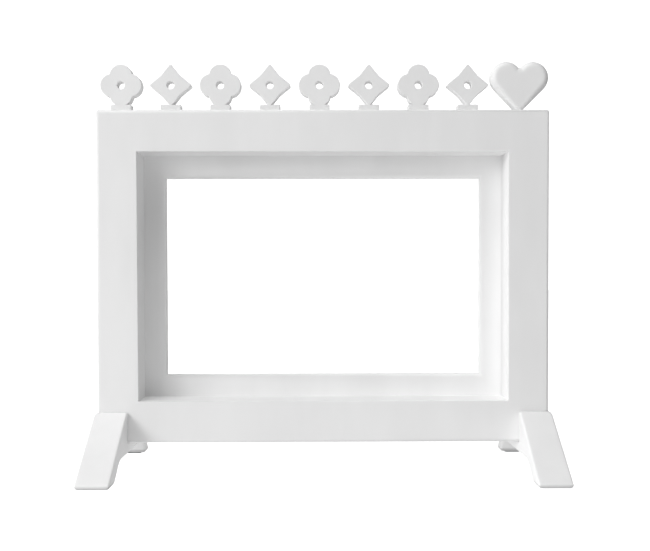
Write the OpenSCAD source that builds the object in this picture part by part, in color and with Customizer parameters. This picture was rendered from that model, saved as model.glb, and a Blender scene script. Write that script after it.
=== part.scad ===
// Free-standing box picture frame on two saddle feet, with ornaments on its top rail.
// X runs along the frame, Y from its face to its back, Z up from the table.
// The origin lies on the table, under the middle of the frame's width and of the feet's whole length.
// All lengths are in millimetres.

/* [Print and window] */
// Width of the print that the rabbet takes
print_w = 152.4; // [120:0.1:190]
// Height of the print
print_h = 101.6; // [85:0.1:140]
// Room round the print, on each side
print_gap = 1.2; // [0.6:0.1:3]
// Width of the lip in front of the print's edge
lip_w = 9.6; // [6:0.1:14]
// Thickness of the lip
lip_t = 2.4; // [1.6:0.1:4]

/* [Rails] */
// Width of the left and right rails, seen from the front
side_rail_w = 17; // [15:0.1:24]
// Width of the top and bottom rails, seen from the front
level_rail_w = 17.5; // [15:0.1:24]
// Depth of the recess, from the face to the lip
recess_d = 15.7; // [14:0.1:26]
// Thickness of the moulded walls
wall = 2.4; // [1.8:0.1:2.8]
// Radius of the frame's outer edges
edge_r = 1.6; // [0.6:0.1:1.7]
// Radius of the lip's edge round the window
lip_edge_r = 1.8; // [0.6:0.1:2.2]
// Height of the rim that locates the rear casing in the front one
rim_h = 2; // [1:0.1:2.6]

/* [Panes] */
// Thickness of one clear pane
pane_t = 1.5; // [1.3:0.1:2.5]
// Room round the panes, on each side
pane_gap = 0.4; // [0.2:0.1:1]
// Thickness of the retaining frame
retainer_t = 1.3; // [1.1:0.1:2]
// How far the retaining frame stands out of the rear casing
retainer_proud = 0.5; // [0.3:0.1:0.8]

/* [Turn buttons] */
// Thickness of a turn button
button_t = 1.4; // [1:0.1:2]
// Radius of its pivot end
button_r = 3.6; // [3.2:0.1:4.5]
// Radius of its tip
button_tip_r = 2.3; // [1.5:0.1:2.8]
// How far its tip reaches over the retaining frame
button_lap = 4.6; // [3:0.1:6]
// Distance of the top and bottom buttons from the middle
button_x = 34; // [20:0.5:40]

/* [Screws] */
// Radius of the casing and foot screws
screw_r = 1.4; // [1.1:0.05:1.6]
// Radius of their heads
head_r = 2.7; // [2.2:0.1:3]
// Height of their heads
head_h = 1.7; // [1.2:0.1:2]
// Length of a casing screw under its head
casing_screw_l = 11; // [8:0.5:14]
// Length of a foot screw under its head
foot_screw_l = 12; // [9:0.5:14]
// Radius of a turn button's screw
pivot_r = 1.3; // [1:0.05:1.5]
// Length of a turn button's screw under its head
pivot_l = 9; // [7:0.5:10]
// Distance of the top and bottom casing screws from the middle
casing_screw_x = 66; // [50:0.5:70]
// Distance of the side casing screws from the middle height
casing_screw_z = 34; // [25:0.5:38]

/* [Feet] */
// Height of the frame's bottom edge above the table
frame_lift = 12; // [11.5:0.1:20]
// Width of a foot, seen from the front
foot_w = 13.7; // [13:0.1:18]
// How far a foot stands out past the frame's side
foot_proud = 1.1; // [0.9:0.1:4]
// How far a foot reaches in front of the face
front_reach = 37; // [28:0.1:45]
// How far it reaches behind the back
rear_reach = 25; // [22:0.1:35]
// Height of a foot's saddle above the frame's bottom edge
saddle_h = 13; // [8:0.1:18]
// Thickness of the saddle's cheeks at their top edge
cheek_t = 1.2; // [0.8:0.1:2]
// Length of the front sole, from front to back
front_sole_l = 11.5; // [10:0.1:16]
// Length of the rear sole
rear_sole_l = 8.5; // [7.5:0.1:12]
// Height of the arch between the soles
arch_h = 7.6; // [5:0.1:8]
// Radius of a foot's corners, seen from the front
foot_r = 1.3; // [0.6:0.1:1.6]
// Radius of a leg's tip, seen from the side
tip_r = 1; // [0.6:0.1:1.4]
// Thickness of an anti-slip pad
pad_t = 1; // [0.8:0.1:1.5]
// How far a pad stands out of its sole
pad_proud = 0.4; // [0.2:0.1:0.6]

/* [Ornaments] */
// Number of flat ornaments in the row
ornament_count = 8; // [4:1:8]
// Height of an ornament with its plinth
ornament_h = 19.6; // [16:0.1:22]
// Thickness of an ornament
ornament_t = 5; // [3:0.1:7]
// Height of the plinth under an ornament
plinth_h = 2.8; // [1.6:0.1:4]
// Width of the plinth
plinth_w = 8.6; // [7.6:0.1:12]
// Distance of the row's middle plane behind the face
ornament_set = 7; // [6:0.1:8.5]
// Radius of an ornament's locating pegs
peg_r = 1; // [0.7:0.05:1.2]
// Length of the pegs
peg_l = 3.6; // [2.6:0.1:5]
// Radius of the heart's two lobes
lobe_r = 6.7; // [5:0.1:7]
// Distance of the lobes from the heart's middle
lobe_x = 5.6; // [4:0.1:6.5]
// Height of the heart
heart_h = 20.8; // [18:0.1:26]
// Thickness of the heart
heart_t = 7.4; // [6:0.1:8.5]

/* [Hidden] */
BUTTON_COUNT = 6;

// Overrun of a cut past the face that it opens
over = 1;
// Depth to which a boss, plinth or peg runs into what it is moulded with
root = 0.6;
// Facets of round pieces and of the heart, and steps of a rounded corner
round_fn = 48;
heart_fn = 32;
corner_steps = 6;

// Frame: its outer size and window, the middle of its depth, and its planes from the face to the back
// and from the table up
open_w = print_w + 2 * print_gap;
open_h = print_h + 2 * print_gap;
frame_w = open_w + 2 * side_rail_w;
frame_h = open_h + 2 * level_rail_w;
window_w = open_w - 2 * lip_w;
window_h = open_h - 2 * lip_w;
rear_t = 2 * pane_t + retainer_t - retainer_proud;
frame_t = recess_d + lip_t + rear_t;
frame_y = (front_reach - rear_reach) / 2;
face_y = frame_y - frame_t / 2;
lip_y = face_y + recess_d;
seam_y = lip_y + lip_t;
back_y = frame_y + frame_t / 2;
bottom_z = frame_lift;
mid_z = bottom_z + frame_h / 2;
top_z = bottom_z + frame_h;

// Distances of the rails' middle lines from the frame's middle
rail_x = (open_w + side_rail_w) / 2;
rail_z = (open_h + level_rail_w) / 2;

// Locating rim: its thickness, the room between it and the front casing's walls, and its distance
// inside the frame's edge
rim_t = 1.5;
rim_gap = 0.1;
rim_in = wall + rim_gap;

// Screw bosses: radius, room round a screw in its pilot bore and in a clearance hole,
// and the bore's spare depth and closed end
boss_r = 2.9;
thread_gap = 0.03;
hole_gap = 0.25;
pilot_spare = 1;
boss_end = 1.2;

// Screw heads: room round them, the cross recess, and shares of the head and shank that are sloped
head_gap = 0.2;
cross_w = 0.6;
cross_d = 0.8;
cross_share = 0.62;
head_top_share = 0.7;
head_side_share = 0.55;
tip_share = 0.45;

// Planes under the screws' heads, and the ends of their pilot bores
casing_seat_y = back_y - head_h - head_gap;
casing_bore_y = casing_seat_y - casing_screw_l - pilot_spare;
foot_seat_z = arch_h + head_h + head_gap;
foot_bore_z = foot_seat_z + foot_screw_l + pilot_spare;

// Panes and retaining frame: corner radius, and how far the opening stays outside the window
pane_r = 1.2;
retainer_reveal = 1.5;
retainer_y = seam_y + 2 * pane_t;

// Turn buttons: room at the pivot and between flat faces, washer, and head of the pivot screw
pivot_gap = 0.07;
button_gap = 0.05;
washer_r = 3;
washer_t = retainer_proud;
pivot_head_r = 2.6;
pivot_head_h = 1.5;
button_y = back_y + washer_t + button_gap;
pivot_seat_y = button_y + button_t + button_gap;
pivot_bore_y = pivot_seat_y - pivot_l - pilot_spare;
button_reach = side_rail_w / 2 + button_lap;

// Feet: room between the frame and its saddle, and the planes of a foot
saddle_gap = 0.1;
foot_out_x = frame_w / 2 + foot_proud;
foot_in_x = foot_out_x - foot_w;
sole_z = pad_proud;
saddle_z = bottom_z + saddle_h;
front_tip_y = face_y - front_reach;
front_cheek_y = face_y - cheek_t;
front_heel_y = front_tip_y + front_sole_l;
rear_tip_y = back_y + rear_reach;
rear_cheek_y = back_y + cheek_t;
rear_heel_y = rear_tip_y - rear_sole_l;
// Run of a leg's slope towards the back, for each unit of height; the arch's sides lie parallel to it
front_run_share = (front_cheek_y - front_tip_y) / (saddle_z - sole_z);
rear_run_share = (rear_cheek_y - rear_tip_y) / (saddle_z - sole_z);
front_arch_y = front_heel_y + (arch_h - sole_z) * front_run_share;
rear_arch_y = rear_heel_y + (arch_h - sole_z) * rear_run_share;
arch_r = 10;
heel_r = 0.8;

// Foot screws: middle of the frame's flat on a foot, and their places from front to back
foot_screw_x = (foot_in_x + frame_w / 2) / 2;
foot_screw_pitch = 7;
foot_screw_y = face_y + wall + boss_r + rim_gap;
foot_screw_ys = [foot_screw_y, foot_screw_y + foot_screw_pitch];

// Pads: size, distance from the heel, corner radius, room in their pockets, and their middles
pad_w = 9;
pad_l = 4.4;
pad_in = 0.7;
pad_r = 1;
pad_gap = 0.15;
pad_ys = [front_heel_y - pad_in - pad_l / 2, rear_heel_y + pad_in + pad_l / 2];

// Ornament row: middle plane, size of a motif, how far the heart stands past the frame's end, and the
// motifs' places between the frame's other end and the heart
ornament_y = face_y + ornament_set;
motif_h = ornament_h - plinth_h + root;
motif_z = top_z + ornament_h - motif_h / 2;
heart_over = 0.7;
heart_x = frame_w / 2 + heart_over - lobe_x - lobe_r;
row_margin = 1;
row_gap = 0.8;
row_left_x = -frame_w / 2 + row_margin + motif_h / 2;
row_right_x = heart_x - lobe_x - lobe_r - row_gap - motif_h / 2;
row_pitch = (row_right_x - row_left_x) / (ornament_count - 1);
peg_x = 2.6;
peg_gap = 0.05;
// Shares of a motif's height: petal, its distance from the middle and the eye, and a star's inner corners
petal_r_share = 0.275;
petal_x_share = 0.225;
eye_share = 0.09;
star_in_share = 0.33;
star_tip_r = 0.7;
star_in_r = 1.5;
// Heart: rounding of its edge, height of its notch above the lobes' middles, then the tip and the peg
heart_edge_r = 2.6;
notch_h = 4.2;
heart_tip_edge_r = 1.1;
heart_tip_r = 2.2;
heart_peg_r = 1.2;
heart_peg_l = 4;

// Turn buttons on the rails: X, Z, and the tip's direction from +X towards +Z
button_places = [
    [-rail_x, mid_z, 0],
    [rail_x, mid_z, 180],
    [-button_x, mid_z + rail_z, 270],
    [button_x, mid_z + rail_z, 270],
    [-button_x, mid_z - rail_z, 90],
    [button_x, mid_z - rail_z, 90]
];

// Casing screws on the rails: X and Z
casing_screw_places = [
    for (sx = [-1, 1], sz = [-1, 1]) each [
        [sx * rail_x, mid_z + sz * casing_screw_z],
        [sx * casing_screw_x, mid_z + sz * rail_z]
    ]
];

white = "#ededed";
milky = "#e3e3e1";
zinc = "#b9bbbd";
clear = [0.85, 0.92, 0.95, 0.35];
grey = "#8f9193";

function unit(v) = v / norm(v);

// Points of the arc that rounds the corner at b, between its neighbours a and c
function corner(a, b, c, r) = r == 0 ? [b] :
    let (
        u = unit(a - b),
        v = unit(c - b),
        half = acos(u * v) / 2,
        centre = b + unit(u + v) * r / sin(half),
        first = b + u * r / tan(half) - centre,
        last = b + v * r / tan(half) - centre,
        start = atan2(first.y, first.x),
        turn = atan2(first.x * last.y - first.y * last.x, first * last)
    )
    [for (i = [0:corner_steps]) let (t = start + turn * i / corner_steps) centre + r * [cos(t), sin(t)]];

// An outline with each corner rounded to its own radius
function rounded(points, radii) = let (n = len(points))
    [for (i = [0:n - 1]) each corner(points[(i + n - 1) % n], points[i], points[(i + 1) % n], radii[i])];

// Middle of ornament i in the row
function row_x(i) = row_left_x + (i - 1) * row_pitch;

// A rectangle with rounded corners, in the middle of the sheet
module rounded_rect(w, h, r) {
    square([w - 2 * r, h], center = true);
    square([w, h - 2 * r], center = true);
    for (sx = [-1, 1], sy = [-1, 1])
        translate([sx * (w / 2 - r), sy * (h / 2 - r)]) circle(r, $fn = round_fn);
}

// A w by d rectangle on the X axis whose two corners on the axis are rounded
module bar_end(w, d, r) {
    translate([-w / 2, r]) square([w, d - r]);
    translate([-w / 2 + r, 0]) square([w - 2 * r, d]);
    for (sx = [-1, 1]) translate([sx * (w / 2 - r), r]) circle(r, $fn = round_fn);
}

// The opening that a rounded edge of radius r leaves on each side of a w wide window
module flare(w, r) difference() {
    translate([-w / 2 - r, -over]) square([w + 2 * r, r + over]);
    for (sx = [-1, 1]) translate([sx * (w / 2 + r), r]) circle(r, $fn = round_fn);
}

// A flat shape in X and Z made solid from y0 to y1
module upright(y0, y1) translate([0, y1, 0]) rotate([90, 0, 0]) linear_extrude(y1 - y0) children();

// A w by h block round the frame's middle, from y0 to y1
module block(w, h, y0, y1) upright(y0, y1) translate([0, mid_z]) square([w, h], center = true);

// The same with rounded corners
module plate(w, h, r, y0, y1) upright(y0, y1) translate([0, mid_z]) rounded_rect(w, h, r);

// A shell's outer block from y = 0 to d round the frame's middle, with its edges at y = 0 rounded
module shell_block(w, h, d, r) intersection() {
    plate(w, h, r, 0, d);
    translate([0, 0, mid_z]) linear_extrude(h + 2 * over, center = true) bar_end(w, d, r);
    translate([0, 0, mid_z]) rotate([0, 90, 0]) linear_extrude(w + 2 * over, center = true) bar_end(h, d, r);
}

// A cylinder along Y from y0 to y1, at x and z
module along_y(x, z, r, y0, y1) translate([x, y1, z]) rotate([90, 0, 0])
    cylinder(r = r, h = y1 - y0, $fn = round_fn);

// A cylinder along Z from z0 to z1, at x and y
module along_z(x, y, r, z0, z1) translate([x, y, z0]) cylinder(r = r, h = z1 - z0, $fn = round_fn);

// A pan-head screw along +Z whose head sits under the origin
module screw(hr, hh, r, l) difference() {
    rotate_extrude($fn = round_fn) polygon([
        [0, -hh],
        [hr * head_top_share, -hh],
        [hr, -hh * head_side_share],
        [hr, 0],
        [r, 0],
        [r, l - r],
        [r * tip_share, l],
        [0, l]
    ]);
    for (a = [0, 90]) rotate([0, 0, a]) translate([-hr * cross_share, -cross_w / 2, -hh - over])
        cube([2 * hr * cross_share, cross_w, cross_d + over]);
}

// The same screw driven into the back, with its seat at y
module back_screw(x, z, y, hr, hh, r, l) translate([x, y, z]) rotate([90, 0, 0]) screw(hr, hh, r, l);

module front_casing() color(white) difference() {
    union() {
        difference() {
            translate([0, face_y, 0]) shell_block(frame_w, frame_h, seam_y - face_y, edge_r);
            // Hollow between the outer walls and the recess, open at the seam
            difference() {
                block(frame_w - 2 * wall, frame_h - 2 * wall, face_y + wall, seam_y + over);
                block(open_w + 2 * wall, open_h + 2 * wall, face_y, seam_y + 2 * over);
            }
            block(open_w, open_h, face_y - over, lip_y);
            block(window_w, window_h, face_y, seam_y + over);
            translate([0, lip_y, mid_z]) intersection() {
                linear_extrude(open_h, center = true) flare(window_w, lip_edge_r);
                rotate([0, 90, 0]) linear_extrude(open_w, center = true) flare(window_h, lip_edge_r);
            }
        }
        for (p = casing_screw_places) along_y(p.x, p.y, boss_r, face_y + wall - root, seam_y);
        for (sx = [-1, 1], y = foot_screw_ys)
            along_z(sx * foot_screw_x, y, boss_r, bottom_z + wall - root, foot_bore_z + boss_end);
    }
    for (p = casing_screw_places)
        along_y(p.x, p.y, screw_r + thread_gap, casing_bore_y, seam_y + over);
    for (sx = [-1, 1], y = foot_screw_ys)
        along_z(sx * foot_screw_x, y, screw_r + thread_gap, bottom_z - over, foot_bore_z);
    // Sockets of the ornaments' pegs
    for (i = [1:ornament_count], sx = [-1, 1])
        along_z(row_x(i) + sx * peg_x, ornament_y, peg_r + peg_gap, top_z - wall - over, top_z + over);
    along_z(heart_x, ornament_y, heart_peg_r + peg_gap, top_z - wall - over, top_z + over);
}

module rear_casing() color(white) difference() {
    union() {
        difference() {
            translate([0, back_y, 0]) mirror([0, 1, 0]) shell_block(frame_w, frame_h, rear_t, edge_r);
            block(open_w, open_h, seam_y - over, back_y + over);
        }
        // Rim that fits inside the front casing's outer walls
        difference() {
            block(frame_w - 2 * rim_in, frame_h - 2 * rim_in, seam_y - rim_h, seam_y + root);
            block(frame_w - 2 * (rim_in + rim_t), frame_h - 2 * (rim_in + rim_t),
                seam_y - rim_h - over, seam_y + root + over);
        }
        for (p = button_places)
            along_y(p.x, p.y, boss_r, pivot_bore_y - boss_end, seam_y + root);
    }
    for (p = casing_screw_places) {
        along_y(p.x, p.y, screw_r + hole_gap, seam_y - over, back_y + over);
        along_y(p.x, p.y, head_r + head_gap, casing_seat_y, back_y + over);
    }
    for (p = button_places)
        along_y(p.x, p.y, pivot_r + thread_gap, pivot_bore_y, back_y + over);
}

module casing_screws() color(zinc) for (p = casing_screw_places)
    back_screw(p.x, p.y, casing_seat_y, head_r, head_h, screw_r, casing_screw_l);

module front_pane() color(clear)
    plate(open_w - 2 * pane_gap, open_h - 2 * pane_gap, pane_r, seam_y, seam_y + pane_t);

module rear_pane() color(clear)
    plate(open_w - 2 * pane_gap, open_h - 2 * pane_gap, pane_r, seam_y + pane_t, retainer_y);

module retaining_frame() color(milky) difference() {
    plate(open_w - 2 * pane_gap, open_h - 2 * pane_gap, pane_r, retainer_y, retainer_y + retainer_t);
    plate(window_w + 2 * retainer_reveal, window_h + 2 * retainer_reveal, pane_r,
        retainer_y - over, retainer_y + retainer_t + over);
}

// Outline of a turn button, from its pivot at the origin to its tip along +X: two arcs and their tangents
module button_outline() {
    tip_x = button_reach - button_tip_r;
    lean = acos((button_r - button_tip_r) / tip_x);
    polygon([
        for (i = [0:2 * corner_steps]) let (t = lean + (360 - 2 * lean) * i / (2 * corner_steps))
            button_r * [cos(t), sin(t)],
        for (i = [0:2 * corner_steps]) let (t = -lean + 2 * lean * i / (2 * corner_steps))
            [tip_x, 0] + button_tip_r * [cos(t), sin(t)]
    ]);
}

module turn_button(i) color(zinc) let (p = button_places[i - 1])
    difference() {
        upright(button_y, button_y + button_t) translate([p.x, p.y]) rotate(p.z) button_outline();
        along_y(p.x, p.y, pivot_r + pivot_gap, button_y - over, button_y + button_t + over);
    }

module turn_button_washers() color(zinc) for (p = button_places) difference() {
    along_y(p.x, p.y, washer_r, back_y, back_y + washer_t);
    along_y(p.x, p.y, pivot_r + hole_gap, back_y - over, back_y + washer_t + over);
}

module turn_button_screws() color(zinc) for (p = button_places)
    back_screw(p.x, p.y, pivot_seat_y, pivot_head_r, pivot_head_h, pivot_r, pivot_l);

// Side view of a foot: two legs, the arch between them and the saddle above, with Y across
module foot_side() polygon(rounded(
    [
        [front_tip_y, sole_z],
        [front_heel_y, sole_z],
        [front_arch_y, arch_h],
        [rear_arch_y, arch_h],
        [rear_heel_y, sole_z],
        [rear_tip_y, sole_z],
        [rear_cheek_y, saddle_z],
        [front_cheek_y, saddle_z]
    ],
    [tip_r, heel_r, arch_r, arch_r, heel_r, tip_r, foot_r / 2, foot_r / 2]
));

// Front view of a foot, between its inner and its outer side
module foot_front() polygon(rounded(
    [
        [foot_in_x, sole_z],
        [foot_out_x, sole_z],
        [foot_out_x, saddle_z],
        [foot_in_x, saddle_z]
    ],
    [foot_r, foot_r, foot_r, 0]
));

// The right foot; the left one is its mirror image
module foot() color(white) difference() {
    intersection() {
        translate([foot_in_x, 0, 0]) rotate([90, 0, 90]) linear_extrude(foot_w) foot_side();
        upright(front_tip_y, rear_tip_y) foot_front();
    }
    translate([0, face_y - saddle_gap, bottom_z])
        cube([frame_w / 2 + saddle_gap, frame_t + 2 * saddle_gap, saddle_h + over]);
    for (y = foot_screw_ys) {
        along_z(foot_screw_x, y, screw_r + hole_gap, 0, bottom_z + over);
        along_z(foot_screw_x, y, head_r + head_gap, 0, foot_seat_z);
    }
    for (y = pad_ys) translate([0, 0, sole_z - over]) linear_extrude(pad_t - pad_proud + over)
        pad_outline(y, pad_gap);
}

module left_foot() mirror([1, 0, 0]) foot();

module right_foot() foot();

// Outline of a pad of the right foot with its middle at y, widened by room
module pad_outline(y, room) translate([foot_in_x + foot_w / 2, y])
    rounded_rect(pad_w + 2 * room, pad_l + 2 * room, pad_r);

module foot_screws() color(zinc) for (sx = [-1, 1], y = foot_screw_ys)
    translate([sx * foot_screw_x, y, foot_seat_z]) screw(head_r, head_h, screw_r, foot_screw_l);

module foot_pads() color(grey) for (sx = [0, 1], y = pad_ys)
    mirror([sx, 0, 0]) linear_extrude(pad_t) pad_outline(y, 0);

// Four petals round an eye
module quatrefoil(h) difference() {
    for (a = [0:90:270]) rotate(a) translate([h * petal_x_share, 0])
        circle(h * petal_r_share, $fn = round_fn);
    circle(h * eye_share, $fn = round_fn);
}

// A star of four points round an eye; its corners lie far enough out for the rounded points to reach h
module star(h) {
    inner = h * star_in_share;
    half = atan(inner * sin(45) / (h / 2 - inner * cos(45)));
    outer = h / 2 + star_tip_r / sin(half) - star_tip_r;
    difference() {
        polygon(rounded(
            [for (k = [0:7]) (k % 2 == 0 ? outer : inner) * [cos(k * 45), sin(k * 45)]],
            [for (k = [0:7]) k % 2 == 0 ? star_tip_r : star_in_r]
        ));
        circle(h * eye_share, $fn = round_fn);
    }
}

// Quatrefoils and stars take turns, each on a plinth with two pegs
module ornament(i) color(milky) {
    upright(ornament_y - ornament_t / 2, ornament_y + ornament_t / 2) {
        translate([row_x(i), motif_z]) if (i % 2 == 1) quatrefoil(motif_h); else star(motif_h);
        translate([row_x(i) - plinth_w / 2, top_z]) square([plinth_w, plinth_h]);
    }
    for (sx = [-1, 1]) along_z(row_x(i) + sx * peg_x, ornament_y, peg_r, top_z - peg_l, top_z + root);
}

// A disc along Y with rounded edges, one end of a lobe
module heart_disc(x, z, r, edge) translate([x, ornament_y, z]) rotate([90, 0, 0])
    rotate_extrude($fn = heart_fn) polygon(rounded(
        [
            [0, -heart_t / 2],
            [r, -heart_t / 2],
            [r, heart_t / 2],
            [0, heart_t / 2]
        ],
        [0, edge, edge, 0]
    ));

// Two lobes that run down to the tip, and the middle that fills the valley between them
module heart() color(milky) {
    lobe_z = top_z + heart_h - lobe_r;
    for (sx = [-1, 1]) hull() {
        heart_disc(heart_x + sx * lobe_x, lobe_z, lobe_r, heart_edge_r);
        heart_disc(heart_x, top_z + heart_tip_r, heart_tip_r, heart_tip_edge_r);
    }
    hull() {
        for (sx = [-1, 1]) heart_disc(heart_x + sx * lobe_x, lobe_z, notch_h, heart_edge_r);
        heart_disc(heart_x, top_z + heart_tip_r, heart_tip_r, heart_tip_edge_r);
    }
    along_z(heart_x, ornament_y, heart_peg_r, top_z - heart_peg_l, top_z + heart_tip_r);
}

front_casing();
rear_casing();
casing_screws();
front_pane();
rear_pane();
retaining_frame();
for (i = [1:BUTTON_COUNT]) turn_button(i);
turn_button_washers();
turn_button_screws();
left_foot();
right_foot();
foot_screws();
foot_pads();
for (i = [1:ornament_count]) ornament(i);
heart();
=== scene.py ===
import math

import bmesh
import bpy
from mathutils import Matrix, Vector


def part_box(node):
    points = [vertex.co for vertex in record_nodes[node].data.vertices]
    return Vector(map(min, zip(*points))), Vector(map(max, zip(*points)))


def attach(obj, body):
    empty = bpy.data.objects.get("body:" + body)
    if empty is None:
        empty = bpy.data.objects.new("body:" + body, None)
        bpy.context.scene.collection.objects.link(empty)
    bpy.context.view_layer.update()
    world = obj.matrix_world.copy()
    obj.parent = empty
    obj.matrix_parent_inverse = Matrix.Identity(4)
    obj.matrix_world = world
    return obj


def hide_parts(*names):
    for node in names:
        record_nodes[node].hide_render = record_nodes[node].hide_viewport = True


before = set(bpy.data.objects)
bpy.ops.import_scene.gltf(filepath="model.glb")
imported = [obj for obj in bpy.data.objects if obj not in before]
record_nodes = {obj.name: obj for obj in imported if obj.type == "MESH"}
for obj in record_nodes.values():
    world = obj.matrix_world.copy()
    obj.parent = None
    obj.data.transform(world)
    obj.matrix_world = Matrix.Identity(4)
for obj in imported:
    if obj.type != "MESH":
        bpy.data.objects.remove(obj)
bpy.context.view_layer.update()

ROOT = "frame"

# The view: a shot from arm's length, level with the window's middle and a little over a degree off the
# face. The picture is cut from a taller one, so the lens's axis lies below its middle. The camera's
# place, turn and shift come from the frame's own edges in the picture.
MM = 0.001
CAMERA_AT = Vector((-2.0, -381.46, 83.05)) * MM
CAMERA_DOWN, CAMERA_RIGHT, CAMERA_ROLL = 1.406, 0.411, -0.131
LENS, SENSOR, LENS_SHIFT = 50.0, 36.0, 0.0301

down, aside, roll = (math.radians(a) for a in (CAMERA_DOWN, CAMERA_RIGHT, CAMERA_ROLL))
ahead = Vector((math.sin(aside) * math.cos(down), math.cos(aside) * math.cos(down), -math.sin(down)))
level = Vector((math.cos(aside), -math.sin(aside), 0))
over = level.cross(ahead)
right = level * math.cos(roll) + over * math.sin(roll)
upward = right.cross(ahead)
camera = bpy.data.objects.new("Camera", bpy.data.cameras.new("Camera"))
camera.data.lens = LENS
camera.data.sensor_width = SENSOR
camera.data.shift_y = LENS_SHIFT
camera.data.clip_start = 10 * MM
camera.matrix_world = Matrix.Translation(CAMERA_AT) @ Matrix((right, upward, -ahead)).transposed().to_4x4()
bpy.context.scene.collection.objects.link(camera)
bpy.context.scene.camera = camera


# Front casing: one injection moulding in white ABS, with the face, the deep recess and the lip round
# the window. The tool's parting edges are broken by hand and by wear, so no outer edge is quite sharp.
WHITE_LIGHT, WHITE_DARK = "#f7f7f7", "#f2f2f2"
CASING_EDGE = 0.35 * MM
EDGE_STEPS = 3                     # facets across a rounded edge
SHARP_ANGLE = math.radians(35)     # an edge that turns more than this is a real one
FLAT_ANGLE = math.radians(0.6)     # neighbours that turn less than this are one flat face
WELD = 0.002 * MM                  # corners closer than this are one corner
ON_FACE = 0.1 * MM                 # an edge this close to a box's side lies in it
REBATE_ROOM = 0.6 * MM             # how far the recess's walls stand from the panes


def linear(code):
    """An sRGB hex colour as linear red, green, blue and alpha."""
    channels = [int(code[i:i + 2], 16) / 255 for i in (1, 3, 5)]
    return [c / 12.92 if c <= 0.04045 else ((c + 0.055) / 1.055) ** 2.4 for c in channels] + [1.0]


def add(tree, kind, inputs=None, **settings):
    """Adds a node. An input takes another node's socket as a link, or a plain value."""
    node = tree.nodes.new(kind)
    for name, value in settings.items():
        setattr(node, name, value)
    for name, value in (inputs or {}).items():
        if isinstance(value, bpy.types.NodeSocket):
            tree.links.new(value, node.inputs[name])
        else:
            node.inputs[name].default_value = value
    return node


def material(name, **sockets):
    """A material with one Principled shader, whose constant sockets are set by name."""
    made = bpy.data.materials.new(name)
    made.use_nodes = True
    tree = made.node_tree
    tree.nodes.clear()
    shader = add(tree, "ShaderNodeBsdfPrincipled", {n.replace("_", " "): v for n, v in sockets.items()})
    add(tree, "ShaderNodeOutputMaterial", {"Surface": shader.outputs["BSDF"]})
    return made, tree, shader


def patches(tree, size, detail=2.0, stretch=(1, 1, 1)):
    """Soft noise on Object coordinates whose patches are about `size` metres across."""
    place = add(tree, "ShaderNodeTexCoord").outputs["Object"]
    if stretch != (1, 1, 1):
        place = add(tree, "ShaderNodeMapping", {"Vector": place, "Scale": stretch}).outputs["Vector"]
    return add(tree, "ShaderNodeTexNoise", {"Vector": place, "Scale": 1 / size, "Detail": detail}).outputs["Fac"]


def tinted(tree, amount, light, dark, low=0.3, high=0.7):
    """Two colours mixed by a noise's amount, which is spread over its middle range."""
    spread = add(tree, "ShaderNodeMapRange", {"Value": amount, "From Min": low, "From Max": high})
    mixed = add(tree, "ShaderNodeMix", {0: spread.outputs["Result"], 6: linear(dark), 7: linear(light)},
                data_type="RGBA")
    return mixed.outputs[2]


def roughened(tree, amount, low, high):
    """A roughness between low and high that follows a noise."""
    return add(tree, "ShaderNodeMapRange", {"Value": amount, "To Min": low, "To Max": high}).outputs["Result"]


def moulded_abs(name, light, dark):
    """Spark-eroded ABS: the tool's fine grain dulls the gloss, and the melt's flow leaves faint clouds.
    The grain is 0.15 mm in truth and is drawn at 0.7 mm, the finest that shows at this distance."""
    made, tree, shader = material(name, IOR=1.54)
    flow = patches(tree, 16 * MM, 3.0, (1, 1, 0.35))
    grain = patches(tree, 0.7 * MM, 2.0)
    wave = patches(tree, 9 * MM, 1.0)
    tree.links.new(tinted(tree, flow, light, dark), shader.inputs["Base Color"])
    tree.links.new(roughened(tree, flow, 0.4, 0.52), shader.inputs["Roughness"])
    dimples = add(tree, "ShaderNodeBump", {"Strength": 0.35, "Distance": 0.02 * MM, "Height": grain})
    swells = add(tree, "ShaderNodeBump", {"Strength": 0.4, "Distance": 0.06 * MM, "Height": wave,
                                          "Normal": dimples.outputs["Normal"]})
    tree.links.new(swells.outputs["Normal"], shader.inputs["Normal"])
    return made


def shown(name, mesh, look, body, nodes):
    """Puts a finished mesh on its body in place of its CAD nodes."""
    mesh.materials.clear()
    mesh.materials.append(look)
    for face in mesh.polygons:
        face.material_index = 0
    piece = bpy.data.objects.new(name, mesh)
    bpy.context.scene.collection.objects.link(piece)
    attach(piece, body)
    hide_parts(*nodes)
    return piece


def merged(node):
    """A CAD node's triangles as one closed bmesh, with flat faces made whole."""
    shape = bmesh.new()
    shape.from_mesh(record_nodes[node].data)
    bmesh.ops.remove_doubles(shape, verts=shape.verts, dist=WELD)
    bmesh.ops.dissolve_limit(shape, angle_limit=FLAT_ANGLE, verts=shape.verts, edges=shape.edges)
    return shape


def softened(node, name, edge, look, body=ROOT, keep=lambda place: True):
    """A CAD node with its sharp outer edges rounded, where `keep` allows the place of the edge."""
    shape = merged(node)
    corners = [e for e in shape.edges if e.is_manifold and e.is_convex
               and e.calc_face_angle() > SHARP_ANGLE and keep((e.verts[0].co + e.verts[1].co) / 2)]
    bmesh.ops.bevel(shape, geom=corners, offset=edge, offset_type="OFFSET", segments=EDGE_STEPS,
                    profile=0.5, affect="EDGES", clamp_overlap=False)
    mesh = bpy.data.meshes.new(name)
    shape.to_mesh(mesh)
    shape.free()
    mesh.shade_smooth()
    mesh.set_sharp_from_angle(angle=SHARP_ANGLE)
    piece = shown(name, mesh, look, body, [node])
    normals = piece.modifiers.new("Flat faces stay flat", "WEIGHTED_NORMAL")
    normals.keep_sharp = True
    return piece


white_abs = moulded_abs("White ABS, spark-eroded", WHITE_LIGHT, WHITE_DARK)
casing_low, casing_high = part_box("front_casing")
pane_low, pane_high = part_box("front_pane")


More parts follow.
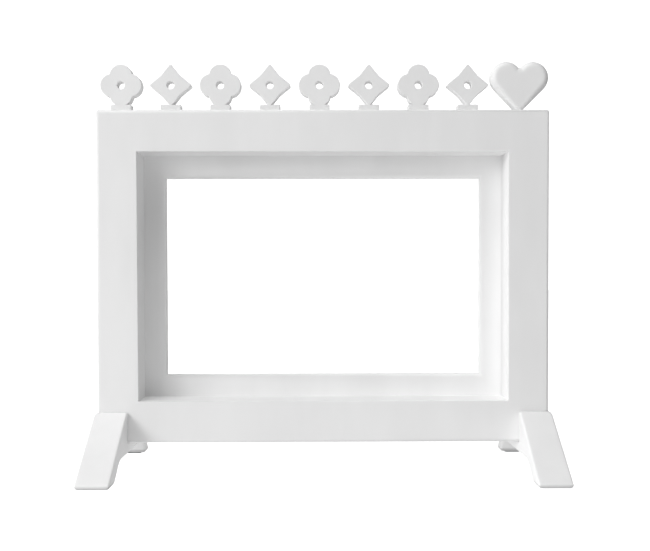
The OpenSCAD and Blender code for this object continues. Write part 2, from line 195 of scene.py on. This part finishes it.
def on_casing_skin(place):
    """Whether an edge of the casing is in its outer skin or in the recess, and not in the hollow wall."""
    at_skin = min(abs(place.x - casing_low.x), abs(place.x - casing_high.x), abs(place.z - casing_low.z),
                  abs(place.z - casing_high.z)) < ON_FACE
    in_recess = (pane_low.x - REBATE_ROOM < place.x < pane_high.x + REBATE_ROOM
                 and pane_low.z - REBATE_ROOM < place.z < pane_high.z + REBATE_ROOM)
    return at_skin or in_recess


softened("front_casing", "face_moulding", CASING_EDGE, white_abs, keep=on_casing_skin)


# Rear casing: the back plate in the same ABS, moulded with a rebate for the panes and with sunk seats
# for its screws. It closes the front casing, and the broken edges leave a fine line at the joint.
REAR_EDGE = 0.3 * MM

softened("rear_casing", "back_moulding", REAR_EDGE, white_abs,
         keep=lambda place: place.y > casing_high.y - ON_FACE / 2)


# Casing screws: zinc-plated pan-head screws for plastics, driven from the back into bosses of the
# front casing. Each is turned to where it happened to stop, which a seeded turn shows.
ZINC_LIGHT, ZINC_DARK = "#c9cccf", "#b2b5b7"
CASING_SHANK, CASING_HEAD = 1.4 * MM, 1.7 * MM
LATHE_STEPS = 40
DOME_STEPS = (0, 18, 34, 48, 60, 72, 82, 90)    # degrees from a screw head's top to its rim
RECESS_ANGLE = math.radians(32)                 # a turned part's real edges turn more than this


def zinc_plate(name):
    """Bright zinc over pressed steel: a soft grey metal, cloudy where the plating is thicker."""
    made, tree, shader = material(name, Metallic=1.0)
    cloud = patches(tree, 1.6 * MM, 3.0)
    scuff = patches(tree, 0.35 * MM, 2.0, (1, 1, 0.2))
    tree.links.new(tinted(tree, cloud, ZINC_LIGHT, ZINC_DARK), shader.inputs["Base Color"])
    tree.links.new(roughened(tree, scuff, 0.22, 0.42), shader.inputs["Roughness"])
    bump = add(tree, "ShaderNodeBump", {"Strength": 0.25, "Distance": 0.01 * MM, "Height": scuff})
    tree.links.new(bump.outputs["Normal"], shader.inputs["Normal"])
    return made


def solid_boxes(node):
    """The box of each separate solid of a CAD node, from the lowest corner up."""
    shape = merged(node)
    left, boxes = set(shape.verts), []
    while left:
        found, edge = set(), [left.pop()]
        while edge:
            vertex = edge.pop()
            found.add(vertex)
            near = {e.other_vert(vertex) for e in vertex.link_edges} & left
            left -= near
            edge += near
        corners = [v.co.copy() for v in found]
        boxes.append((Vector([min(c[i] for c in corners) for i in range(3)]),
                      Vector([max(c[i] for c in corners) for i in range(3)])))
    shape.free()
    return sorted(boxes, key=lambda b: tuple(round(c, 6) for c in b[0]))


def lathed(outline):
    """A closed bmesh turned round Z from an outline of radius and height, from the axis to the axis."""
    shape = bmesh.new()
    chain = [shape.verts.new((r, 0, z)) for r, z in outline]
    edges = [shape.edges.new(pair) for pair in zip(chain, chain[1:])]
    bmesh.ops.spin(shape, geom=chain + edges, cent=(0, 0, 0), axis=(0, 0, 1), angle=2 * math.pi,
                   steps=LATHE_STEPS, use_merge=True)
    bmesh.ops.remove_doubles(shape, verts=shape.verts, dist=WELD)
    bmesh.ops.recalc_face_normals(shape, faces=shape.faces)
    return shape


def as_object(name, shape):
    """A bmesh as an object that only the trees and cuts of this script use."""
    mesh = bpy.data.meshes.new(name)
    shape.to_mesh(mesh)
    shape.free()
    made = bpy.data.objects.new(name, mesh)
    bpy.context.scene.collection.objects.link(made)
    return made


def evaluated(maker):
    """The mesh that an object's modifiers make; the object itself is deleted."""
    graph = bpy.context.evaluated_depsgraph_get()
    mesh = bpy.data.meshes.new_from_object(maker.evaluated_get(graph))
    bpy.data.objects.remove(maker)
    return mesh


def cross_cutter(width, reach, depth, top):
    """The point of a cross-head driver: four wings that narrow towards the tip."""
    shape, rings = bmesh.new(), []
    for far, half, height in ((reach * 0.45, width * 0.3, top - depth), (reach, width * 0.5, top + depth)):
        wing = (Vector((far, -half, height)), Vector((far, half, height)), Vector((half, half, height)))
        rings.append([shape.verts.new(Matrix.Rotation(quarter * math.pi / 2, 3, "Z") @ corner)
                      for quarter in range(4) for corner in wing])
    low, high = rings
    shape.faces.new(low[::-1])
    shape.faces.new(high)
    for i in range(len(low)):
        shape.faces.new((low[i - 1], low[i], high[i], high[i - 1]))
    return shape


def pan_head_screw(name, head_r, head_h, shank_r, length):
    """A screw along -Z with its seat at the origin: domed head, cross recess and tapered tip."""
    dome = [(head_r * math.sin(a), head_h * (0.35 + 0.65 * math.cos(a)))
            for a in (math.radians(d) for d in DOME_STEPS)]
    outline = [(0, dome[0][1])] + dome[1:] + [(head_r * 0.98, 0.08 * head_h), (head_r * 0.93, 0),
                                             (shank_r, 0), (shank_r, shank_r - length),
                                             (shank_r * 0.45, -length), (0, -length)]
    screw = as_object(name, lathed(outline))
    cutter = as_object("Driver", cross_cutter(head_r * 0.2, head_r * 0.6, head_h * 0.55, head_h))
    cut = screw.modifiers.new("Cross recess", "BOOLEAN")
    cut.object, cut.operation, cut.solver = cutter, "DIFFERENCE", "EXACT"
    mesh = evaluated(screw)
    bpy.data.objects.remove(cutter)
    mesh.shade_smooth()
    mesh.set_sharp_from_angle(angle=RECESS_ANGLE)
    made = bpy.data.objects.new(name, mesh)
    bpy.context.scene.collection.objects.link(made)
    return made


def fastener_tree():
    """Copies one part to each point of a mesh, faces it one way and turns each copy by chance."""
    tree = bpy.data.node_groups.new("Fasteners on their seats", "GeometryNodeTree")
    sockets = [("Seats", "INPUT", "NodeSocketGeometry"), ("Part", "INPUT", "NodeSocketObject"),
               ("Facing", "INPUT", "NodeSocketRotation"), ("Turn", "INPUT", "NodeSocketFloat"),
               ("Seed", "INPUT", "NodeSocketInt"), ("Material", "INPUT", "NodeSocketMaterial"),
               ("Fasteners", "OUTPUT", "NodeSocketGeometry")]
    for name, way, kind in sockets:
        tree.interface.new_socket(name, in_out=way, socket_type=kind)
    given = add(tree, "NodeGroupInput").outputs
    part = add(tree, "GeometryNodeObjectInfo", {"Object": given["Part"]})
    placed = add(tree, "GeometryNodeInstanceOnPoints", {
        "Points": given["Seats"], "Instance": part.outputs["Geometry"], "Rotation": given["Facing"]})
    chance = add(tree, "FunctionNodeRandomValue", {"Max": given["Turn"], "Seed": given["Seed"]}, data_type="FLOAT")
    turn = add(tree, "ShaderNodeCombineXYZ", {"Z": chance.outputs["Value"]})
    spin = add(tree, "FunctionNodeEulerToRotation", {"Euler": turn.outputs["Vector"]})
    turned = add(tree, "GeometryNodeRotateInstances", {
        "Instances": placed.outputs["Instances"], "Rotation": spin.outputs["Rotation"], "Local Space": True})
    real = add(tree, "GeometryNodeRealizeInstances", {"Geometry": turned.outputs["Instances"]})
    dressed = add(tree, "GeometryNodeSetMaterial", {
        "Geometry": real.outputs["Geometry"], "Material": given["Material"]})
    add(tree, "NodeGroupOutput", {"Fasteners": dressed.outputs["Geometry"]})
    return tree


def on_seats(name, part, seats, facing, look, nodes, turn=0.0, seed=0, body=ROOT):
    """One piece made of a part copied to each seat by the fastener tree."""
    points = bmesh.new()
    for seat in seats:
        points.verts.new(seat)
    maker = as_object(name + "_maker", points)
    modifier = maker.modifiers.new("Fasteners", "NODES")
    modifier.node_group = FASTENERS
    named = {s.name: s.identifier for s in FASTENERS.interface.items_tree if s.in_out == "INPUT"}
    for key, value in {"Part": part, "Facing": facing, "Turn": turn, "Seed": seed, "Material": look}.items():
        modifier[named[key]] = value
    mesh = evaluated(maker)
    bpy.data.objects.remove(part)
    return shown(name, mesh, look, body, nodes)


FASTENERS = fastener_tree()
BACKWARDS = (math.radians(-90), 0, 0)
zinc = zinc_plate("Zinc-plated steel, pressed")
boxes = solid_boxes("casing_screws")
head_r = (boxes[0][1].x - boxes[0][0].x) / 2
length = boxes[0][1].y - boxes[0][0].y - CASING_HEAD
seats = [((low.x + high.x) / 2, high.y - CASING_HEAD, (low.z + high.z) / 2) for low, high in boxes]
on_seats("casing_screw_set", pan_head_screw("Casing screw", head_r, CASING_HEAD, CASING_SHANK, length),
         seats, BACKWARDS, zinc, ["casing_screws"], 2 * math.pi, 7)


# Clear panes: two laser-cut sheets of clear acrylic with flame-polished edges, laid in the rebate. They
# are shown a paper's thickness apart, as they lie when a print is in, and the light passes through them
# to the walls behind without being bent.
PANE_EDGE = 0.2 * MM
PRINT_ROOM = 0.2 * MM
WHITE = linear("#ffffff")


def clear_acrylic(name):
    """Cast acrylic: clear as glass and as smooth, with a few hair-fine wipe marks in the gloss."""
    made, tree, shader = material(name, IOR=1.49, Transmission_Weight=1.0, Base_Color=WHITE)
    wipes = patches(tree, 1.2 * MM, 2.0, (0.15, 1, 1))
    tree.links.new(roughened(tree, wipes, 0.0, 0.03), shader.inputs["Roughness"])
    return made


acrylic = clear_acrylic("Clear acrylic, polished")
for node, name, side in (("front_pane", "front_glazing", 1), ("rear_pane", "rear_glazing", -1)):
    low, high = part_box(node)
    pane = softened(node, name, PANE_EDGE, acrylic)
    pane.visible_shadow = pane.visible_diffuse = False
    for vertex in pane.data.vertices:
        if (vertex.co.y - (low.y + high.y) / 2) * side > 0:
            vertex.co.y -= side * PRINT_ROOM / 2


# Retaining frame: a thin white ABS frame, blanked from sheet, that presses the panes against the lip.
# It stands a little proud of the back, so that the turn buttons bear on it.
RETAINER_EDGE = 0.25 * MM

sheet_abs = moulded_abs("White ABS, sheet", "#ebebea", "#e6e6e5")
softened("retaining_frame", "backing_frame", RETAINER_EDGE, sheet_abs)


# Turn buttons: blanked from zinc-plated strip, one at the middle of each side rail and two on each
# level rail. Each turns on its own screw, over a thin washer that lifts it off the casing.
BUTTON_EDGE = 0.22 * MM
PIVOT_SHANK, PIVOT_HEAD = 1.3 * MM, 1.5 * MM
WASHER_HOLE = 1.55 * MM


def zinc_strip(name):
    """Zinc-plated strip, blanked and tumbled: the roll's fine lines still show under the plating."""
    made, tree, shader = material(name, Metallic=1.0)
    lines = patches(tree, 0.5 * MM, 2.0, (0.06, 1, 1))
    cloud = patches(tree, 2.5 * MM, 3.0)
    tree.links.new(tinted(tree, cloud, "#cdd0d2", "#bcbfc1"), shader.inputs["Base Color"])
    tree.links.new(roughened(tree, lines, 0.24, 0.4), shader.inputs["Roughness"])
    bump = add(tree, "ShaderNodeBump", {"Strength": 0.2, "Distance": 0.01 * MM, "Height": lines})
    tree.links.new(bump.outputs["Normal"], shader.inputs["Normal"])
    return made


strip = zinc_strip("Zinc-plated steel, strip")
for number in range(1, 7):
    softened(f"turn_button_{number}", f"turn_button_blank_{number}", BUTTON_EDGE, strip,
             body=f"button_{number}")

boxes = solid_boxes("turn_button_washers")
washer_r = (boxes[0][1].x - boxes[0][0].x) / 2
washer_t = boxes[0][1].y - boxes[0][0].y
break_r = 0.1 * MM
ring = [(WASHER_HOLE, 0), (washer_r - break_r, 0), (washer_r, break_r), (washer_r, washer_t - break_r),
        (washer_r - break_r, washer_t), (WASHER_HOLE + break_r, washer_t), (WASHER_HOLE, washer_t - break_r)]
washer = as_object("Washer", lathed(ring + ring[:1]))
seats = [((low.x + high.x) / 2, low.y, (low.z + high.z) / 2) for low, high in boxes]
on_seats("washer_set", washer, seats, BACKWARDS, zinc, ["turn_button_washers"])

boxes = solid_boxes("turn_button_screws")
head_r = (boxes[0][1].x - boxes[0][0].x) / 2
length = boxes[0][1].y - boxes[0][0].y - PIVOT_HEAD
seats = [((low.x + high.x) / 2, high.y - PIVOT_HEAD, (low.z + high.z) / 2) for low, high in boxes]
on_seats("pivot_screw_set", pan_head_screw("Pivot screw", head_r, PIVOT_HEAD, PIVOT_SHANK, length),
         seats, BACKWARDS, zinc, ["turn_button_screws"], 2 * math.pi, 3)


# Feet: two solid ABS saddles that the frame drops into, each with a leg to the front and one to the
# back. The tool is polished after its edges are broken, so every edge of a foot is softly rounded.
FOOT_VOXEL = 0.28 * MM
FOOT_PASSES = 34


def melted(node, name, voxel, passes, look):
    """A CAD node with all its facets melted together, and its edges smoothed round by some passes."""
    maker = as_object(name + "_maker", merged(node))
    melt = maker.modifiers.new("Melt", "REMESH")
    melt.mode, melt.voxel_size = "VOXEL", voxel
    polish = maker.modifiers.new("Polish", "SMOOTH")
    polish.factor, polish.iterations = 0.5, passes
    mesh = evaluated(maker)
    mesh.shade_smooth()
    return shown(name, mesh, look, ROOT, [node])


for node, name in (("left_foot", "left_saddle_foot"), ("right_foot", "right_saddle_foot")):
    melted(node, name, FOOT_VOXEL, FOOT_PASSES, white_abs)


# Foot screws: the same kind of pan-head screw, driven up through each foot into the front casing from
# sunk seats in the arch.
boxes = solid_boxes("foot_screws")
head_r = (boxes[0][1].x - boxes[0][0].x) / 2
length = boxes[0][1].z - boxes[0][0].z - CASING_HEAD
seats = [((low.x + high.x) / 2, (low.y + high.y) / 2, low.z + CASING_HEAD) for low, high in boxes]
on_seats("foot_screw_set", pan_head_screw("Foot screw", head_r, CASING_HEAD, CASING_SHANK, length),
         seats, (math.pi, 0, 0), zinc, ["foot_screws"], 2 * math.pi, 11)


# Anti-slip pads: die-cut grey rubber with an adhesive back, pressed into a pocket in each sole.
PAD_EDGE = 0.15 * MM


def pad_rubber(name):
    """Filled rubber sheet: dull, with a powdery bloom and the weave of its release liner."""
    made, tree, shader = material(name, IOR=1.52)
    bloom = patches(tree, 1.5 * MM, 3.0)
    grain = patches(tree, 0.4 * MM, 1.0)
    tree.links.new(tinted(tree, bloom, "#9a9c9e", "#8a8c8e"), shader.inputs["Base Color"])
    tree.links.new(roughened(tree, bloom, 0.7, 0.85), shader.inputs["Roughness"])
    bump = add(tree, "ShaderNodeBump", {"Strength": 0.4, "Distance": 0.03 * MM, "Height": grain})
    tree.links.new(bump.outputs["Normal"], shader.inputs["Normal"])
    return made


softened("foot_pads", "anti_slip_pads", PAD_EDGE, pad_rubber("Grey rubber, die-cut"))


# Ornaments: flat mouldings in a slightly duller white, each on a plinth whose two pegs are pressed into
# the top rail. Quatrefoils and four-point stars take turns along the row.
ORNAMENT_EDGE = 0.3 * MM

ornament_abs = moulded_abs("White ABS, ornaments", "#f6f6f6", "#f1f1f1")
row = sorted(n for n in record_nodes if n.startswith("ornament_"))
for node in row:
    kind = "quatrefoil" if int(node.split("_")[1]) % 2 else "star"
    softened(node, f"{kind}_{node.split('_')[1]}", ORNAMENT_EDGE, ornament_abs,
             keep=lambda place: place.z > casing_high.z - ON_FACE / 2)


# Heart: a puffed ABS moulding with a flat middle and a full round edge, on one peg at the end of the
# row. Its tool is polished all over, so nothing of its rim is sharp but the notch.
HEART_VOXEL = 0.22 * MM
HEART_PASSES = 12

melted("heart", "puffed_heart", HEART_VOXEL, HEART_PASSES, ornament_abs)


# Floor and light: a pale, evenly lit table and a white backdrop. Soft lamps stand at the front left, from
# low to overhead, with a weak one at the right; the table throws some light back up, and the room's own
# light, strongest from the left and the back, fills in the rest.
FLOOR_REACH, BACKDROP_REACH = 4.0, 6.0
FLOOR_LIGHT, FLOOR_DARK = "#fbfbfb", "#f9f9f9"
FLOOR_GLOW, BACKDROP_GLOW = 0.8, 1.35
ROOM_PLUS = (0.20, 0.50, 0.06)    # light of the room from the right, the back and above
ROOM_MINUS = (0.57, 0.0, 0.26)    # light of the room from the left, the front and below
AIM = Vector((0, 6, 80)) * MM
LAMPS = [    # place in mm, width in metres, power in watts, and whether it points straight up
    ("Key", (-924, -641, 490), 0.5, 4.75, False),
    ("Low key", (-661, -974, 288), 0.5, 1.8, False),
    ("Overhead left", (-140, -380, 1208), 0.5, 4.0, False),
    ("Overhead", (0, -202, 1262), 0.5, 1.45, False),
    ("Fill", (977, -558, 490), 0.5, 0.4, False),
    ("Table", (0, -330, 2), 0.8, 0.45, True),
    ("Table front", (0, -300, -100), 0.3, 0.14, False),
]


def set_stage(name, shape, look, tree, shader, strength):
    """Puts up a glowing surface that is only seen, and that neither lights nor shades the part: it goes
    dark for light that has already left the part, which would otherwise come in through the panes."""
    made = as_object(name, shape)
    made.data.materials.append(look)
    made.visible_diffuse = made.visible_glossy = made.visible_shadow = False
    path = add(tree, "ShaderNodeLightPath")
    seen = add(tree, "ShaderNodeMath", {0: path.outputs["Diffuse Depth"], 1: 0.5}, operation="LESS_THAN")
    glow = add(tree, "ShaderNodeMath", {0: seen.outputs["Value"], 1: strength}, operation="MULTIPLY")
    tree.links.new(glow.outputs["Value"], shader.inputs["Emission Strength"])
    look.cycles.emission_sampling = "NONE"


shape = bmesh.new()
bmesh.ops.create_circle(shape, cap_ends=True, segments=96, radius=FLOOR_REACH)
table, tree, shader = material("Pale table", Roughness=0.9, Specular_IOR_Level=0.0, Emission_Color=WHITE)
clouds = tinted(tree, patches(tree, 300 * MM), FLOOR_LIGHT, FLOOR_DARK)
tree.links.new(clouds, shader.inputs["Base Color"])
set_stage("Floor", shape, table, tree, shader, FLOOR_GLOW)

shape = bmesh.new()
bmesh.ops.create_icosphere(shape, subdivisions=4, radius=BACKDROP_REACH)
paper = material("Backdrop paper", Base_Color=linear("#000000"), Specular_IOR_Level=0.0, Emission_Color=WHITE)
set_stage("Backdrop", shape, *paper, BACKDROP_GLOW)

for name, place, width, power, upright in LAMPS:
    lamp = bpy.data.objects.new(name, bpy.data.lights.new(name, "AREA"))
    lamp.data.shape, lamp.data.size, lamp.data.energy = "DISK", width, power
    lamp.location = Vector(place) * MM
    aim = Vector((0, 0, 1)) if upright else AIM - lamp.location
    lamp.rotation_euler = aim.to_track_quat("-Z", "Y").to_euler()
    lamp.visible_camera = False
    bpy.context.scene.collection.objects.link(lamp)

world = bpy.data.worlds.new("Studio")
world.use_nodes = True
bpy.context.scene.world = world
tree = world.node_tree
tree.nodes.clear()
way = add(tree, "ShaderNodeTexCoord").outputs["Generated"]
back = add(tree, "ShaderNodeVectorMath", {0: way, 1: (-1, -1, -1)}, operation="MULTIPLY").outputs["Vector"]
total = 0.0
for side, shares in ((way, ROOM_PLUS), (back, ROOM_MINUS)):
    part = add(tree, "ShaderNodeVectorMath", {0: side, 1: (0, 0, 0)}, operation="MAXIMUM").outputs["Vector"]
    share = add(tree, "ShaderNodeVectorMath", {0: part, 1: shares}, operation="DOT_PRODUCT").outputs["Value"]
    total = add(tree, "ShaderNodeMath", {0: share, 1: total}, operation="ADD").outputs["Value"]
light = add(tree, "ShaderNodeBackground", {"Color": WHITE, "Strength": total})
add(tree, "ShaderNodeOutputWorld", {"Surface": light.outputs["Background"]})
bpy.context.scene.view_settings.view_transform = "Standard"
